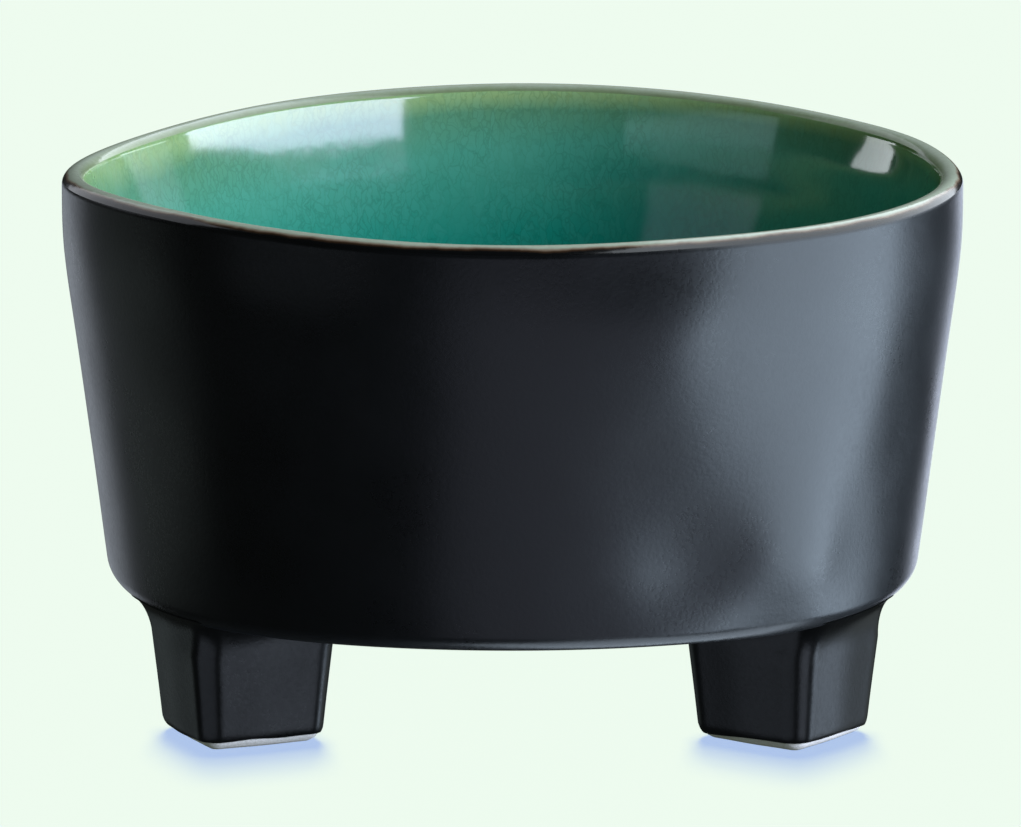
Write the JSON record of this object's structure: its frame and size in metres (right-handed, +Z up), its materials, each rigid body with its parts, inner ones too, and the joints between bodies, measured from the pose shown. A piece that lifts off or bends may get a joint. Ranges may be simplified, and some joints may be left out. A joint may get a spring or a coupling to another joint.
{
  "type": "footed bowl",
  "caption": "Round stoneware bowl with an open mouth, standing on square luted feet; satin black glaze outside, green crackle glaze inside.",
  "frame": {"origin": "middle of the plane that the soles stand on", "axes": "+Z up along the bowl's axis; -Y to the front, midway between the two front feet; +X to the right"},
  "size_m": [0.12, 0.12, 0.073],
  "materials": {
    "stoneware_clay": "bare fired clay, matt",
    "luting_slip": "fired slip, matt",
    "green_crackle_glaze": "glossy, crazed",
    "pale_lip_glaze": "glossy",
    "satin_black_glaze": "satin"
  },
  "bodies": {
    "root": {"bowl_body": "stoneware_clay", "foot_left": "stoneware_clay", "foot_right": "stoneware_clay", "foot_rear": "stoneware_clay", "slip_joint_left": "luting_slip", "slip_joint_right": "luting_slip", "slip_joint_rear": "luting_slip", "inner_glaze": "green_crackle_glaze", "rim_glaze": "pale_lip_glaze", "outer_glaze": "satin_black_glaze", "foot_glaze_left": "satin_black_glaze", "foot_glaze_right": "satin_black_glaze", "foot_glaze_rear": "satin_black_glaze"}
  },
  "joints": []
}
